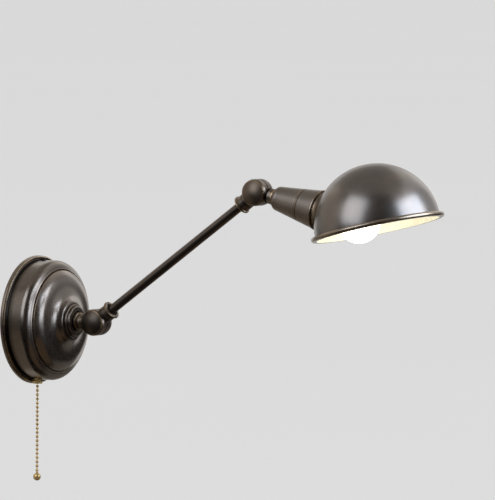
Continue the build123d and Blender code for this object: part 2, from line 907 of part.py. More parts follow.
# Wall bracket: slotted bar, a threaded ear at the top and a plain ear beside the switch
ear_r = foot_r - canopy_wall - ear_clear
ear_top = sqrt(ear_r**2 - (ear_width / 2) ** 2)
ear_low = sqrt(ear_r**2 - (ear_shift + ear_width / 2) ** 2)
with BuildPart() as wall_bracket:
    with BuildSketch(Plane.XZ):
        with Locations((0, (ear_top - ear_low) / 2)):
            Rectangle(bracket_width, ear_top + ear_low)
        with Locations((ear_shift, -ear_low / 2)):
            Rectangle(ear_width, ear_low)
        with Locations((0, bracket_slot_reach), (0, -bracket_slot_reach)):
            SlotOverall(bracket_slot_length, bracket_slot_width, rotation=90, mode=Mode.SUBTRACT)
        Circle(bracket_hole_r, mode=Mode.SUBTRACT)
        with Locations((ground_screw_x, ground_screw_z)):
            Circle(ground_screw_r, mode=Mode.SUBTRACT)
    extrude(amount=bracket_thick)
    with BuildSketch(Plane.XY.offset(ear_top - bracket_thick)):
        with Locations((0, -ear_rise / 2)):
            Rectangle(ear_width, ear_rise)
        with Locations((0, -screw_height)):
            Circle(screw_r + thread_fit, mode=Mode.SUBTRACT)
    extrude(amount=bracket_thick)
    with BuildSketch(Plane.XY.offset(-ear_low)):
        with Locations((ear_shift, -ear_rise / 2)):
            Rectangle(ear_width, ear_rise)
    extrude(amount=bracket_thick)
parts["wall_bracket"] = wall_bracket.part

# Screw through the top of the canopy into the upper ear
with BuildPart() as canopy_screw:
    seat = canopy_r + seat_play
    with BuildSketch(screw_hole.offset(ear_top - 2 * bracket_thick)):
        Circle(screw_r)
    extrude(amount=seat - ear_top + 2 * bracket_thick)
    with BuildSketch(screw_hole.offset(seat)):
        Circle(screw_head_r)
    extrude(amount=screw_head)
    fillet(canopy_screw.edges().sort_by(Axis.Z)[-1], screw_head / 2)
    with BuildSketch(screw_hole.offset(seat + screw_head)):
        Rectangle(screw_head_r * 2, screw_slot)
    extrude(amount=-screw_slot_depth, mode=Mode.SUBTRACT)
parts["canopy_screw"] = canopy_screw.part

# Earth screw in the bracket
with BuildPart() as ground_screw:
    with BuildSketch(Plane.XZ):
        with Locations((ground_screw_x, ground_screw_z)):
            Circle(ground_screw_r - thread_fit)
    extrude(amount=bracket_thick)
    with BuildSketch(Plane.XZ.offset(bracket_thick)):
        with Locations((ground_screw_x, ground_screw_z)):
            RegularPolygon(radius=ground_head_r, side_count=6, major_radius=False)
    extrude(amount=ground_head)
parts["ground_screw"] = ground_screw.part

# Bell mouth: a brass trumpet through the bottom of the canopy
bell_axis = Axis(bell_axis_point, (0, 0, -1))
bell_top = sqrt(canopy_r**2 - (abs(bell_x) - bell_r) ** 2) + bell_gap
bell_end = bell_top + bell_height
bell_nut_corner = bell_nut_across / sqrt(3)
bell_nut_end = sqrt((foot_r - canopy_wall) ** 2 - (abs(bell_x) + bell_nut_corner) ** 2)
bell_nut_start = bell_nut_end - bell_nut_thick
bell_back = bell_nut_start - bell_tail
bell_profile = Plane(origin=bell_axis_point, x_dir=(1, 0, 0), z_dir=(0, 1, 0))
with BuildPart() as bell_mouth:
    with BuildSketch(bell_profile):
        with BuildLine():
            lip_out = (bell_r, bell_end - bell_lip)
            lip_in = (bell_r - 2 * bell_lip, bell_end)
            Polyline(
                (bell_bore_r, bell_top),
                (bell_bore_r, bell_back),
                (bell_neck_r, bell_back),
                (bell_neck_r, bell_top),
                (bell_r - bell_round, bell_top),
                (bell_r, bell_top + bell_round),
                lip_out,
                (bell_r - bell_lip / 2, bell_end),
                lip_in,
            )
            TangentArc((bell_bore_r, bell_top), lip_in, tangent=(0, 1))
        make_face()
    revolve(axis=bell_axis)
parts["bell_mouth"] = bell_mouth.part

parts["bell_nut"] = hexagon_nut(
    bell_hole.offset(bell_nut_start), bell_nut_across, bell_nut_thick, bell_neck_r + thread_fit
)

# Pull switch behind the bell mouth, with a bore for the plunger
switch_end = bell_back - switch_boss
plunger_low = switch_end - canopy_wall
plunger_bore = pull_travel + plunger_thick + canopy_wall
with BuildPart() as switch_body:
    with BuildSketch(bell_hole.offset(switch_end - switch_height)):
        with Locations((0, bracket_thick + switch_gap + switch_depth / 2 - bell_out)):
            RectangleRounded(switch_width, switch_depth, switch_round)
    extrude(amount=switch_height)
    with BuildSketch(bell_hole.offset(switch_end)):
        Circle(switch_boss_r)
    extrude(amount=switch_boss)
    with BuildSketch(bell_hole.offset(plunger_low - plunger_bore)):
        Circle(plunger_r + run_fit)
    extrude(amount=plunger_bore, mode=Mode.SUBTRACT)
    with BuildSketch(bell_hole.offset(plunger_low)):
        Circle(bell_bore_r)
    extrude(amount=canopy_wall + switch_boss, mode=Mode.SUBTRACT)
parts["switch_body"] = switch_body.part


def bead_row(first, count, wire_start, wire_end):
    """Beads at the chain's pitch on a wire, in the open part, measured down from the bell axis point."""
    for index in range(count):
        with BuildSketch(bell_profile) as half_bead:
            with BuildLine():
                middle = first + index * bead_pitch
                ThreePointArc((0, middle - bead_r), (bead_r, middle), (0, middle + bead_r))
                Line((0, middle + bead_r), (0, middle - bead_r))
            make_face()
        revolve(half_bead.sketch, axis=bell_axis)
    with BuildSketch(bell_hole.offset(wire_start)) as wire:
        Circle(chain_wire_r)
    extrude(wire.sketch, amount=wire_end - wire_start)


# Plunger with the beads that run through the bell mouth
swing_at = bell_top
inner_beads = 2
first_inner = swing_at - bead_r - (inner_beads - 1) * bead_pitch - chain_wire_r
plunger_top = plunger_low - plunger_bore + canopy_wall / 2
with BuildPart() as pull_plunger:
    with BuildSketch(bell_hole.offset(plunger_top)):
        Circle(plunger_r)
    extrude(amount=plunger_thick)
    bead_row(first_inner, inner_beads, plunger_top + plunger_thick, swing_at - chain_wire_r)
parts["pull_plunger"] = pull_plunger.part

# Top bead, the first link of the swinging chain
first_hanging = swing_at + bead_r + chain_wire_r
with BuildPart() as chain_top:
    bead_row(first_hanging, 1, swing_at, first_hanging + bead_pitch / 2)
parts["chain_top_link"] = chain_top.part

# Hanging chain and its end ball
second = first_hanging + bead_pitch
last = second + (hanging_beads - 1) * bead_pitch
ball_at = last + bead_r + ball_neck + ball_r
with BuildPart() as chain:
    bead_row(second, hanging_beads, first_hanging + bead_pitch / 2 + chain_wire_r, ball_at - ball_r)
parts["bead_chain"] = chain.part

with BuildPart() as chain_ball:
    with BuildSketch(bell_profile):
        with BuildLine():
            ThreePointArc((0, ball_at - ball_r), (ball_r, ball_at), (0, ball_at + ball_r))
            Line((0, ball_at + ball_r), (0, ball_at - ball_r))
        make_face()
    revolve(axis=bell_axis)
parts["chain_ball"] = chain_ball.part

os.makedirs("parts", exist_ok=True)
for name, piece in parts.items():
    piece.label = name
    export_step(piece, f"parts/{name}.step")

print("lower hinge", lower_pivot)
print("upper hinge", upper_pivot)
print("dome centre", dome_centre)
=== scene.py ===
import bmesh
import bpy
import numpy as np
from mathutils import Matrix, Vector


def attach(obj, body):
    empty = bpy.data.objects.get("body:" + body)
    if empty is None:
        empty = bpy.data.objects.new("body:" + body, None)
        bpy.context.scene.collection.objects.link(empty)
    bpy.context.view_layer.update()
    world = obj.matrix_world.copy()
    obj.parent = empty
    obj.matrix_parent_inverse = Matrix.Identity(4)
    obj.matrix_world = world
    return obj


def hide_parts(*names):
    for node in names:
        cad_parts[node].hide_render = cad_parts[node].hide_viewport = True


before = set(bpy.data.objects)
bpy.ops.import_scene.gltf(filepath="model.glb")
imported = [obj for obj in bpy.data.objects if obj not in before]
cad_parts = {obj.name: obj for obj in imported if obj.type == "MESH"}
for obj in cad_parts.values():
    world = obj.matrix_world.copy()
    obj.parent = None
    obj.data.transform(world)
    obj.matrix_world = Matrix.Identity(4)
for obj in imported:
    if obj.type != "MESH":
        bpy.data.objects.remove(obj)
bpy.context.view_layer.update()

# Wall bracket, earth screw and the nuts behind the canopy
# Pressed steel bar and turned nuts, zinc plated, screwed to the box in the wall.
# They show only from behind and through the open back of the canopy.
ZINC_DARK = (0.36, 0.36, 0.34, 1)
ZINC_LIGHT = (0.62, 0.62, 0.59, 1)
ZINC_ROUGH = (0.3, 0.46)
GREEN_DARK = (0.03, 0.16, 0.05, 1)
GREEN_LIGHT = (0.06, 0.28, 0.09, 1)
GREEN_ROUGH = (0.3, 0.45)
NOISE_SPAN = (0.3, 0.7)
PLATE_CLOUDS = 90
PLATE_GRAIN = 2600
PLATE_GRAIN_DETAIL = 2
PLATE_RELIEF = (0.25, 0.00005)


def start_material(name):
    """A new node material, with its tree, its surface shader and its object coordinates."""
    material = bpy.data.materials.new(name)
    material.use_nodes = True
    tree = material.node_tree
    place = tree.nodes.new("ShaderNodeTexCoord").outputs["Object"]
    return material, tree, tree.nodes["Principled BSDF"], place


def noise(tree, place, scale, detail=4.0):
    """Grey noise, so many blotches to the metre."""
    texture = tree.nodes.new("ShaderNodeTexNoise")
    texture.inputs["Scale"].default_value = scale
    texture.inputs["Detail"].default_value = detail
    tree.links.new(place, texture.inputs["Vector"])
    return texture.outputs["Fac"]


def spread(tree, value, low, high, to_low, to_high):
    """The stretch low..high of a value, laid out on to_low..to_high and held at the ends."""
    mapper = tree.nodes.new("ShaderNodeMapRange")
    for socket, number in zip(("From Min", "From Max", "To Min", "To Max"), (low, high, to_low, to_high)):
        mapper.inputs[socket].default_value = number
    tree.links.new(value, mapper.inputs["Value"])
    return mapper.outputs["Result"]


def combine(tree, operation, first, second):
    """One value from two, by a named sum; the second is a number or a socket."""
    node = tree.nodes.new("ShaderNodeMath")
    node.operation = operation
    tree.links.new(first, node.inputs[0])
    if isinstance(second, float):
        node.inputs[1].default_value = second
    else:
        tree.links.new(second, node.inputs[1])
    return node.outputs["Value"]


def blend_colours(tree, factor, first, second):
    """Colour that goes from first to second with a factor; each is a constant or a socket."""
    mixer = tree.nodes.new("ShaderNodeMix")
    mixer.data_type = "RGBA"
    tree.links.new(factor, mixer.inputs["Factor"])
    for socket, colour in (("A", first), ("B", second)):
        target = [s for s in mixer.inputs if s.name == socket and s.type == "RGBA"][0]
        if isinstance(colour, tuple):
            target.default_value = colour
        else:
            tree.links.new(colour, target)
    return [s for s in mixer.outputs if s.type == "RGBA"][0]


def relief(tree, height, strength, depth):
    """Bump normal from a height, with its depth in metres."""
    bump = tree.nodes.new("ShaderNodeBump")
    bump.inputs["Strength"].default_value = strength
    bump.inputs["Distance"].default_value = depth
    tree.links.new(height, bump.inputs["Height"])
    return bump.outputs["Normal"]


def plain_metal(name, dark, light, rough, metallic=1.0):
    """Plated metal: clouded colour, a gloss that varies between two roughnesses and a fine grain."""
    material, tree, shader, place = start_material(name)
    cloud = noise(tree, place, PLATE_CLOUDS)
    grain = noise(tree, place, PLATE_GRAIN, PLATE_GRAIN_DETAIL)
    shader.inputs["Metallic"].default_value = metallic
    tree.links.new(blend_colours(tree, cloud, dark, light), shader.inputs["Base Color"])
    tree.links.new(spread(tree, grain, *NOISE_SPAN, *rough), shader.inputs["Roughness"])
    tree.links.new(relief(tree, grain, *PLATE_RELIEF), shader.inputs["Normal"])
    return material


def coat_nodes(material, *names):
    """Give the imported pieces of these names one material."""
    for name in names:
        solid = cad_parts[name]
        solid.data.materials.clear()
        solid.data.materials.append(material)


zinc = plain_metal("zinc_plate", ZINC_DARK, ZINC_LIGHT, ZINC_ROUGH)
green = plain_metal("earth_green", GREEN_DARK, GREEN_LIGHT, GREEN_ROUGH)
coat_nodes(zinc, "wall_bracket", "collar_nut", "swivel_washer", "swivel_nut")
coat_nodes(green, "ground_screw")

# Canopy
# One spun steel shell with a flared rim, a round shoulder and an ogee dome, in oil-rubbed bronze.
# A screw in its top edge holds it on the bracket; handling has rubbed its edges down to gold.
WALL_CENTRE = (0.0, 0.0, 0.0)
OUTWARD = (0.0, -1.0, 0.0)
ALONG_HINGE = (1.0, 0.0, 0.0)
PER_METRE = 1000
WELD = 0.000001
BRONZE_DARK = (0.125, 0.092, 0.066, 1)
BRONZE_LIGHT = (0.19, 0.15, 0.118, 1)
# Gold for rubbed edges, also used for painted gleams and a painted reflection on the shade.
GOLD_RUB_AND_GLEAM = (0.72, 0.50, 0.26, 1)
# Near-black for dark patina in grooves, and for shade painted into coves, gaps and recesses.
DARK_PATINA_AND_SHADE = (0.006, 0.004, 0.003, 1)
OILED_DARK = (0.02, 0.015, 0.011, 1)
OILED_LIGHT = (0.05, 0.038, 0.03, 1)
OILED_ROUGH = (0.4, 0.55)
BRONZE_METALLIC = 0.97
BRONZE_CLOUDS = 26
BRONZE_CLOUD_DETAIL = 5
BRONZE_CLOUD_SPAN = (0.32, 0.68)
BRONZE_MOTTLE = 170
BRONZE_GRAIN = 1500
BRONZE_GRAIN_DETAIL = 3
BRONZE_RELIEF = (0.06, 0.00004)
GILT_SPAN = (0.3, 0.6)
GILT_LEAST = 0.35
SATIN_SPAN = (0.7, 1.3)
SATIN_BELOW = 0.02
SATIN_ABOVE = 0.03
PATINA_AND_SHADE_ROUGH = 0.55
LACQUER_IOR = 1.9
LACQUER_SMOOTHER = 0.04
RING_CORE = 0.4
WEAR_AND_SHADE_REACH = 0.75
CANOPY_ROUGH = 0.28
CANOPY_STEPS = 192
TURNED_STEPS = 128
SHARP_R = 0.02
STRAIGHTEST = 0.9999
ARC_POINTS = 9
RUN_SHARES = (0.03, 0.12, 0.4, 0.6, 0.88, 0.97)
# The rim's cove is painted black as shade; the groove under the dome's edge is dark patina and painted shade.
CANOPY_SKIN = [
    # radius, height, rounding, rub and gleam, patina and shade
    (60.8, 0.0, 0.0, 0, 0),
    (66.5, 0.0, 0.2, 0, 0),
    (66.5, 3.0, 1.1, 0.2, 0),
    (64.9, 4.5, 0.45, 1, 0),
    (62.8, 2.5, 0.9, 0, 1),
    (61.8, 5.9, 0.8, 0, 1),
    (62.2, 27.2, 8.0, 0, 0),
    (53.5, 31.1, 0.4, 0.2, 0),
    (52.8, 30.4, 0.15, 0, 0.6),
    (51.9, 30.4, 0.15, 0, 0.6),
    (51.9, 32.3, 0.5, 0.4, 0),
]
CANOPY_MARKS = [
    # further worn places, and places of dark patina and painted shade, written in the same way
    (66.5, 0.8, 0, 0.2, 0),
    (66.5, 1.9, 0, 0.2, 0),
    (63.7, 3.3, 0, 0, 1),
    (62.3, 4.2, 0, 0, 1),
    (62.0, 5.0, 0, 0, 1),
    (61.81, 6.6, 0, 0, 1),
    (61.83, 7.6, 0, 0, 0.75),
    (61.85, 8.6, 0, 0, 0.4),
    (55.3, 30.4, 0, 0, 0.5),
]
OGEE = [
    # shares of the dome's span and of its rise
    (0.0, 0.0),
    (0.065, 0.133),
    (0.145, 0.266),
    (0.25, 0.371),
    (0.38, 0.423),
    (0.51, 0.455),
    (0.675, 0.538),
    (0.785, 0.65),
    (0.855, 0.783),
    (0.9, 0.902),
    (0.935, 0.972),
    (1.0, 1.0),
]
OGEE_POINTS = 64
DOME_LAND = (18.2, 46.6)
CANOPY_WALL = 1.0
CANOPY_BACK = [
    (9.5, 46.6, 0.0, 0, 0),
    (9.5, 45.6, 0.0, 0, 0),
    (18.2, 45.6, 0.0, 0, 0),
]
LINED_OGEE = slice(3, -2)
CANOPY_LINING = [
    (50.9, 29.4, 0.0, 0, 0),
    (52.8, 29.4, 0.3, 0, 0),
    (61.2, 26.7, 7.0, 0, 0),
    (60.8, 0.0, 0.0, 0, 0),
]


def filleted(corners):
    """Open outline of straight runs, with an arc of the corner's own radius at each inner corner.

    The arc touches both runs at radius / tan(half the angle between them) from the corner, and its points
    swing evenly from one touching point to the other about its centre. Rows are radius and height.
    """
    table = np.array(corners, float)
    tip, radius = table[:, :2], np.maximum(table[1:-1, 2:3], SHARP_R)
    run = np.diff(tip, axis=0)
    run /= np.linalg.norm(run, axis=1, keepdims=True)
    back, on = -run[:-1], run[1:]
    half = np.arccos(np.clip((back * on).sum(1, keepdims=True), -STRAIGHTEST, STRAIGHTEST)) / 2
    first, last = tip[1:-1] + back * radius / np.tan(half), tip[1:-1] + on * radius / np.tan(half)
    middle = (back + on) / np.linalg.norm(back + on, axis=1, keepdims=True)
    centre = (tip[1:-1] + middle * radius / np.sin(half))[:, None]
    swing, t = (np.pi - 2 * half)[:, None], np.linspace(0, 1, ARC_POINTS)[None, :, None]
    arc = np.sin((1 - t) * swing) * (first[:, None] - centre) + np.sin(t * swing) * (last[:, None] - centre)
    arc = centre + arc / np.sin(swing)
    share = np.array(RUN_SHARES)[None, :, None]
    starts, ends = np.concatenate([tip[:1], last])[:, None], np.concatenate([first, tip[-1:]])[:, None]
    straight = starts * (1 - share) + ends * share
    joined = np.concatenate([straight[:-1], arc], 1).reshape(-1, 2)
    return np.concatenate([tip[:1], joined, straight[-1], tip[-1:]])


def through(points, count):
    """Smooth curve through points: cubic runs over the chord length that meet with equal slope and bend.

    The bends at the inner points solve the usual three-term equations, and the ends are left unbent.
    """
    points = np.array(points, float)
    along = np.concatenate([[0.0], np.cumsum(np.linalg.norm(np.diff(points, axis=0), axis=1))])
    gap, rise = np.diff(along), np.diff(points, axis=0)
    rows = np.diag(2 * (gap[:-1] + gap[1:])) + np.diag(gap[1:-1], 1) + np.diag(gap[1:-1], -1)
    bend = np.zeros_like(points)
    bend[1:-1] = np.linalg.solve(rows, 6 * np.diff(rise / gap[:, None], axis=0))
    at = np.linspace(0, along[-1], count)
    k = np.clip(np.searchsorted(along, at, "right") - 1, 0, len(gap) - 1)
    g, a, b = gap[k, None], (along[k + 1] - at)[:, None], (at - along[k])[:, None]
    curve = (bend[k] * a**3 + bend[k + 1] * b**3) / (6 * g)
    return curve + (points[k] / g - bend[k] * g / 6) * a + (points[k + 1] / g - bend[k + 1] * g / 6) * b


def wear_and_shade_marks(profile, corners, reach=WEAR_AND_SHADE_REACH):
    """Rub and gleam, and dark patina and painted shade, of each profile point.

    Each is the largest over the corners of the corner's amount * exp(-(distance / reach)^2).
    """
    table = np.array(corners, float)
    fade = np.exp(-((np.linalg.norm(profile[:, None] - table[None, :, :2], axis=2) / reach) ** 2))
    return {"rub_and_gleam": (table[:, 3] * fade).max(1), "patina_and_shade": (table[:, 4] * fade).max(1)}


def turned(profile, origin, direction, sideways, steps=TURNED_STEPS):
    """Surface of revolution: origin + height * direction + radius * (cos a * side + sin a * across)."""
    axis, side = np.array(direction), np.array(sideways)
    angle = np.arange(steps) * 2 * np.pi / steps
    ring = np.cos(angle)[:, None] * side + np.sin(angle)[:, None] * np.cross(axis, side)
    return np.array(origin) + profile[:, 1, None, None] * axis + profile[:, 0, None, None] * ring


def make_piece(name, grid, marks, material, body, slot, *stands_for):
    """Turn a grid of points in millimetres, closed along its rows, into a smooth piece of the lamp."""
    rows, steps = grid.shape[:2]
    row, step = np.meshgrid(np.arange(rows - 1), np.arange(steps), indexing="ij")
    on = (step + 1) % steps
    quads = np.stack([row, row, row + 1, row + 1], -1) * steps + np.stack([step, on, on, step], -1)
    mesh = bpy.data.meshes.new(name)
    mesh.from_pydata((grid.reshape(-1, 3) / PER_METRE).tolist(), [], quads.reshape(-1, 4).tolist())
    for mark, amount in marks.items():
        layer = mesh.attributes.new(mark, "FLOAT", "POINT")
        layer.data.foreach_set("value", np.repeat(amount, steps))
    seam = bmesh.new()
    seam.from_mesh(mesh)
    bmesh.ops.remove_doubles(seam, verts=seam.verts, dist=WELD)
    seam.to_mesh(mesh)
    seam.free()
    mesh.polygons.foreach_set("use_smooth", np.ones(len(mesh.polygons), bool))
    mesh.materials.append(material)
    piece = bpy.data.objects.new(name, mesh)
    bpy.context.scene.collection.objects.link(piece)
    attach(piece, body)
    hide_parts(*stands_for)


def bronze_finish(name, dark, light, rough, rings=(), gloss=1.0):
    """Oil-rubbed bronze: clouded brown with a satin grain, gold where it is rubbed and at painted gleams,
    black and dull in its grooves and where shade is painted into gaps and recesses.

    The rub_and_gleam and patina_and_shade attributes say where, and so do rings: an origin in millimetres and
    a direction with rows of place along it, half width, rub and gleam, and patina and shade, for pieces that
    carry no attributes.
    """
    material, tree, shader, place = start_material(name)
    marks = {}
    for mark in ("rub_and_gleam", "patina_and_shade"):
        attribute = tree.nodes.new("ShaderNodeAttribute")
        attribute.attribute_name = mark
        marks[mark] = attribute.outputs["Fac"]
    for origin, direction, rows in rings:
        offset = tree.nodes.new("ShaderNodeVectorMath")
        offset.operation = "SUBTRACT"
        offset.inputs[1].default_value = np.array(origin) / PER_METRE
        tree.links.new(place, offset.inputs[0])
        distance = tree.nodes.new("ShaderNodeVectorMath")
        distance.operation = "DOT_PRODUCT"
        distance.inputs[1].default_value = direction
        tree.links.new(offset.outputs["Vector"], distance.inputs[0])
        for at, width, rub_and_gleam, patina_and_shade in rows:
            apart = combine(tree, "SUBTRACT", distance.outputs["Value"], at / PER_METRE)
            away = combine(tree, "ABSOLUTE", apart, 0.0)
            mark, amount = ("rub_and_gleam", rub_and_gleam) if rub_and_gleam else ("patina_and_shade", patina_and_shade)
            ring = spread(tree, away, RING_CORE * width / PER_METRE, width / PER_METRE, amount, 0)
            marks[mark] = combine(tree, "MAXIMUM", marks[mark], ring)
    cloud = spread(tree, noise(tree, place, BRONZE_CLOUDS, BRONZE_CLOUD_DETAIL), *BRONZE_CLOUD_SPAN, 0, 1)
    mottle = noise(tree, place, BRONZE_MOTTLE)
    grain = noise(tree, place, BRONZE_GRAIN, BRONZE_GRAIN_DETAIL)
    gilt = combine(tree, "MULTIPLY", marks["rub_and_gleam"], spread(tree, mottle, *GILT_SPAN, GILT_LEAST, 1))
    brown = blend_colours(tree, cloud, dark, light)
    brown = blend_colours(tree, gilt, brown, GOLD_RUB_AND_GLEAM)
    tree.links.new(blend_colours(tree, marks["patina_and_shade"], brown, DARK_PATINA_AND_SHADE), shader.inputs["Base Color"])
    uneven = combine(tree, "ADD", grain, mottle)
    satin = spread(tree, uneven, *SATIN_SPAN, rough - SATIN_BELOW, rough + SATIN_ABOVE)
    dull = spread(tree, marks["patina_and_shade"], 0, 1, 0, PATINA_AND_SHADE_ROUGH)
    tree.links.new(combine(tree, "MAXIMUM", satin, dull), shader.inputs["Roughness"])
    tree.links.new(relief(tree, grain, *BRONZE_RELIEF), shader.inputs["Normal"])
    shader.inputs["Metallic"].default_value = BRONZE_METALLIC
    tree.links.new(spread(tree, marks["patina_and_shade"], 0, 1, gloss, 0), shader.inputs["Coat Weight"])
    shader.inputs["Coat IOR"].default_value = LACQUER_IOR
    shader.inputs["Coat Roughness"].default_value = rough - LACQUER_SMOOTHER
    return material


dome_edge = np.array(CANOPY_SKIN[-1][:2])
ogee = through(dome_edge + np.array(OGEE) * (np.array(DOME_LAND) - dome_edge), OGEE_POINTS)
skin = filleted(CANOPY_SKIN + [(*ogee[1], 0, 0, 0)])[:-1]
lining = ogee[LINED_OGEE][::-1] - [CANOPY_WALL / 2, CANOPY_WALL]
canopy_profile = np.concatenate([skin, ogee[1:], filleted(CANOPY_BACK), lining, filleted(CANOPY_LINING)])
canopy_bronze = bronze_finish("canopy_bronze", BRONZE_DARK, BRONZE_LIGHT, CANOPY_ROUGH)
make_piece(
    "canopy_shell",
    turned(canopy_profile, WALL_CENTRE, OUTWARD, ALONG_HINGE, CANOPY_STEPS),
    wear_and_shade_marks(canopy_profile, CANOPY_SKIN + CANOPY_MARKS),
    canopy_bronze,
    "base",
    "canopy_bronze",
    "canopy",
)
oiled = plain_metal("oiled_steel", OILED_DARK, OILED_LIGHT, OILED_ROUGH)
coat_nodes(oiled, "canopy_screw")

# Pull switch, bell mouth and its nut
# A moulded switch inside the canopy; its brass trumpet comes out of the canopy's lower edge.
# The trumpet is turned and polished, and screwed on with a thin nut from inside.
BRASS_DARK = (0.46, 0.31, 0.12, 1)
BRASS_LIGHT = (0.78, 0.57, 0.26, 1)
BRASS_ROUGH = (0.2, 0.32)
BRASS_METALLIC = 0.8
PHENOLIC_DARK = (0.012, 0.011, 0.01, 1)
PHENOLIC_LIGHT = (0.03, 0.027, 0.025, 1)
MOULD_ROUGH = (0.42, 0.6)
MOULD_CLOUDS = 70
MOULD_PITS = 1800
MOULD_PIT_DETAIL = 3
MOULD_RELIEF = (0.2, 0.00005)


def moulded(name, dark, light):
    """Moulded resin: faint clouding and a dull, finely pitted face."""
    material, tree, shader, place = start_material(name)
    pits = noise(tree, place, MOULD_PITS, MOULD_PIT_DETAIL)
    cloud = noise(tree, place, MOULD_CLOUDS)
    tree.links.new(blend_colours(tree, cloud, dark, light), shader.inputs["Base Color"])
    tree.links.new(spread(tree, pits, *NOISE_SPAN, *MOULD_ROUGH), shader.inputs["Roughness"])
    tree.links.new(relief(tree, pits, *MOULD_RELIEF), shader.inputs["Normal"])
    return material


brass = plain_metal("polished_brass", BRASS_DARK, BRASS_LIGHT, BRASS_ROUGH, BRASS_METALLIC)
phenolic = moulded("black_phenolic", PHENOLIC_DARK, PHENOLIC_LIGHT)
coat_nodes(brass, "bell_mouth", "bell_nut")
coat_nodes(phenolic, "switch_body")

# Bead chain
# Hollow beads pressed from brass strip on a fine wire, with a heavier ball crimped on the end.
# It hangs from the plunger of the switch through the bell mouth.
CHAIN_DARK = (0.46, 0.30, 0.11, 1)
CHAIN_LIGHT = (0.84, 0.62, 0.29, 1)
CHAIN_ROUGH = (0.2, 0.34)
CHAIN_METALLIC = 0.84
CHAIN_AXIS = (-11.0, -10.0, 0.0)
DOWNWARD = (0.0, 0.0, -1.0)
CHAIN_STEPS = 28
BEAD_R = 1.6
BEAD_POINTS = 13
WIRE_R = 0.45
BEAD_PITCH = 4.35
SWING_AT = 62.138
TOP_BEAD_AT = 64.188
HANGING_BEADS = 21
BALL_AT = 162.538
BALL_R = 4.0
BALL_POINTS = 41
BALL_SEAM = 0.07
SEAM_WIDTH = 0.05
CRIMP_R = 1.25
CRIMP = 1.1
CRIMP_ROUND = 0.3


def bead_profile(first, count, start, end):
    """Beads on a wire: at each pitch the outline follows a half circle between its meetings with the wire."""
    meet = np.arcsin(WIRE_R / BEAD_R)
    angle = np.linspace(meet, np.pi - meet, BEAD_POINTS)
    bead = np.stack([BEAD_R * np.sin(angle), -BEAD_R * np.cos(angle)], 1)
    rows = bead[None] + np.stack([np.zeros(count), first + np.arange(count) * BEAD_PITCH], 1)[:, None]
    head, tail = [(0.0, start), (WIRE_R, start)], [(WIRE_R, end), (0.0, end)]
    return np.concatenate([head, rows.reshape(-1, 2), tail])


chain_brass = plain_metal("chain_brass", CHAIN_DARK, CHAIN_LIGHT, CHAIN_ROUGH, CHAIN_METALLIC)
split_at = TOP_BEAD_AT + BEAD_PITCH / 2
top_bead = bead_profile(TOP_BEAD_AT, 1, SWING_AT, split_at)
beads = bead_profile(TOP_BEAD_AT + BEAD_PITCH, HANGING_BEADS, split_at + WIRE_R, BALL_AT - BALL_R)
angle = np.linspace(np.arcsin(CRIMP_R / BALL_R), np.pi, BALL_POINTS)
ball_r = BALL_R - BALL_SEAM * np.exp(-(((angle - np.pi / 2) / SEAM_WIDTH) ** 2))
ball = np.stack([ball_r * np.sin(angle), BALL_AT - ball_r * np.cos(angle)], 1)
crimp_top = BALL_AT - BALL_R - CRIMP
crimp = filleted([(0, crimp_top, 0), (CRIMP_R, crimp_top, CRIMP_ROUND), (*ball[0], 0)])
ball = np.concatenate([crimp[:-1], ball])
for name, profile, body, node in (
    ("top_bead", top_bead, "chain_top", "chain_top_link"),
    ("hanging_beads", beads, "chain", "bead_chain"),
    ("end_ball", ball, "chain", "chain_ball"),
):
    grid = turned(profile, CHAIN_AXIS, DOWNWARD, ALONG_HINGE, CHAIN_STEPS)
    make_piece(name, grid, {}, chain_brass, body, "chain_brass", node)
coat_nodes(chain_brass, "pull_plunger")

# Centre collar and turned neck
# A two-step collar screwed into the canopy bears the neck, which turns in its recess.
# Both are turned brass under the bronze, with gold along the ring and the band, and shade painted dark into
# the collar's recess and steps.
COLLAR_ROUGH = 0.3
COLLAR = [
    # radius, height, rounding, rub and gleam, patina and shade
    (7.05, 36.1, 0, 0, 0),
    (9.45, 36.1, 0.3, 0, 0),
    (9.45, 46.6, 0, 0, 0),
    (17.3, 46.6, 0.1, 0, 0.8),
    (17.3, 48.9, 0.8, 0.25, 0),
    (15.6, 48.9, 0.25, 0, 0.7),
    (15.6, 52.0, 1.1, 0.15, 0),
    (10.6, 52.0, 0.25, 0.2, 0),
    (10.6, 50.4, 0.1, 0, 1),
    (7.05, 50.4, 0, 0, 1),
    (7.05, 36.1, 0, 0, 0),
]
NECK_ROUGH = 0.38
NECK_GLOSS = 0.6
# The dark rings are painted shade in the collar's recess and in a hollow of the neck.
NECK_RINGS = [
    # place, half width, rub and gleam, patina and shade
    (51.2, 1.2, 0, 1.0),
    (54.5, 0.6, 0.5, 0),
    (55.9, 1.3, 0, 0.7),
    (57.3, 0.5, 0.7, 0),
    (59.1, 0.5, 0.7, 0),
]
LOWER_HINGE = (0.0, -75.12, 0.0)
UPPER_HINGE = (0.0, -269.199, 140.077)
# A dark band painted as shade along the split between a knuckle's halves, with gold on the edges either side.
SPLIT_RINGS = [(0.0, 0.8, 0, 1.0), (6.6, 0.5, 0.35, 0), (-6.6, 0.5, 0.35, 0)]
collar_profile = filleted(COLLAR)
collar_bronze = bronze_finish("collar_bronze", BRONZE_DARK, BRONZE_LIGHT, COLLAR_ROUGH)
make_piece(
    "turned_collar",
    turned(collar_profile, WALL_CENTRE, OUTWARD, ALONG_HINGE),
    wear_and_shade_marks(collar_profile, COLLAR),
    collar_bronze,
    "base",
    "bronze",
    "centre_collar",
)
rings = [(WALL_CENTRE, OUTWARD, NECK_RINGS), (LOWER_HINGE, ALONG_HINGE, SPLIT_RINGS)]
neck_bronze = bronze_finish("neck_bronze", BRONZE_DARK, BRONZE_LIGHT, NECK_ROUGH, rings, NECK_GLOSS)
coat_nodes(neck_bronze, "wall_neck")
